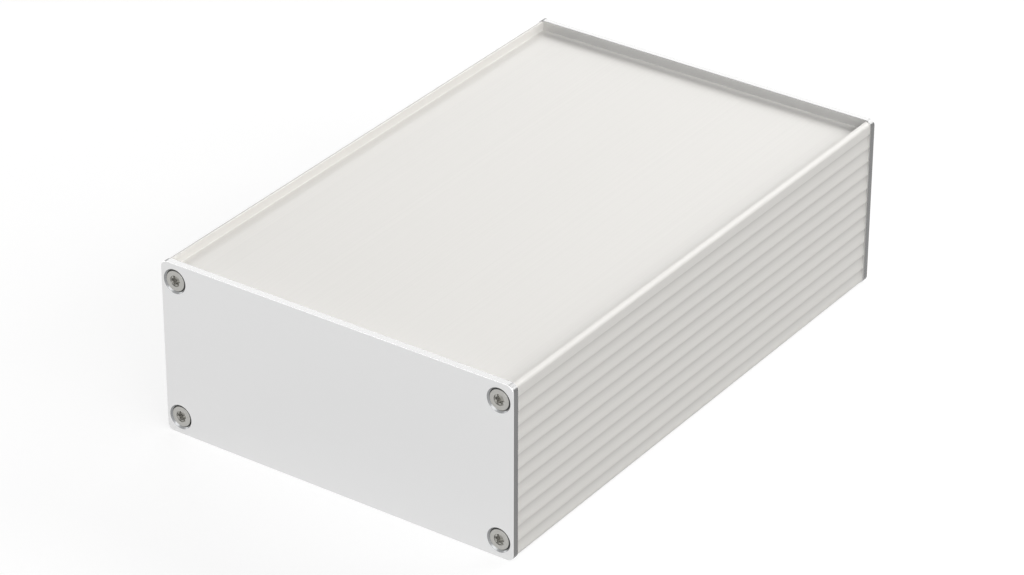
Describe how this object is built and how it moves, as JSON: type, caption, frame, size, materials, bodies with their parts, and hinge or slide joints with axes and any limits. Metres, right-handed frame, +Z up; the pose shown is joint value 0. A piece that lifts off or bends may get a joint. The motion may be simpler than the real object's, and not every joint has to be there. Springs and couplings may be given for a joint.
{
  "type": "extruded aluminium enclosure",
  "caption": "Flat rectangular instrument case: a ribbed extruded aluminium tube with board guides inside, closed at both ends by screwed-on flat plates.",
  "frame": {"origin": "centre of the outline on the surface that the enclosure stands on", "axes": "+Z up, +Y along the extrusion from the front plate to the rear plate, +X to the right seen from the front"},
  "size_m": [0.105, 0.164, 0.0485],
  "materials": {
    "anodised_profile": "extruded, etched matt and clear anodised",
    "anodised_plate": "fine matt, clear anodised",
    "screw_steel": "plain stainless, turned head"
  },
  "bodies": {
    "root": {"extruded_profile": "anodised_profile", "front_plate": "anodised_plate", "rear_plate": "anodised_plate", "front_screw_top_left": "screw_steel", "front_screw_top_right": "screw_steel", "front_screw_bottom_left": "screw_steel", "front_screw_bottom_right": "screw_steel", "rear_screw_top_left": "screw_steel", "rear_screw_top_right": "screw_steel", "rear_screw_bottom_left": "screw_steel", "rear_screw_bottom_right": "screw_steel"}
  },
  "joints": []
}
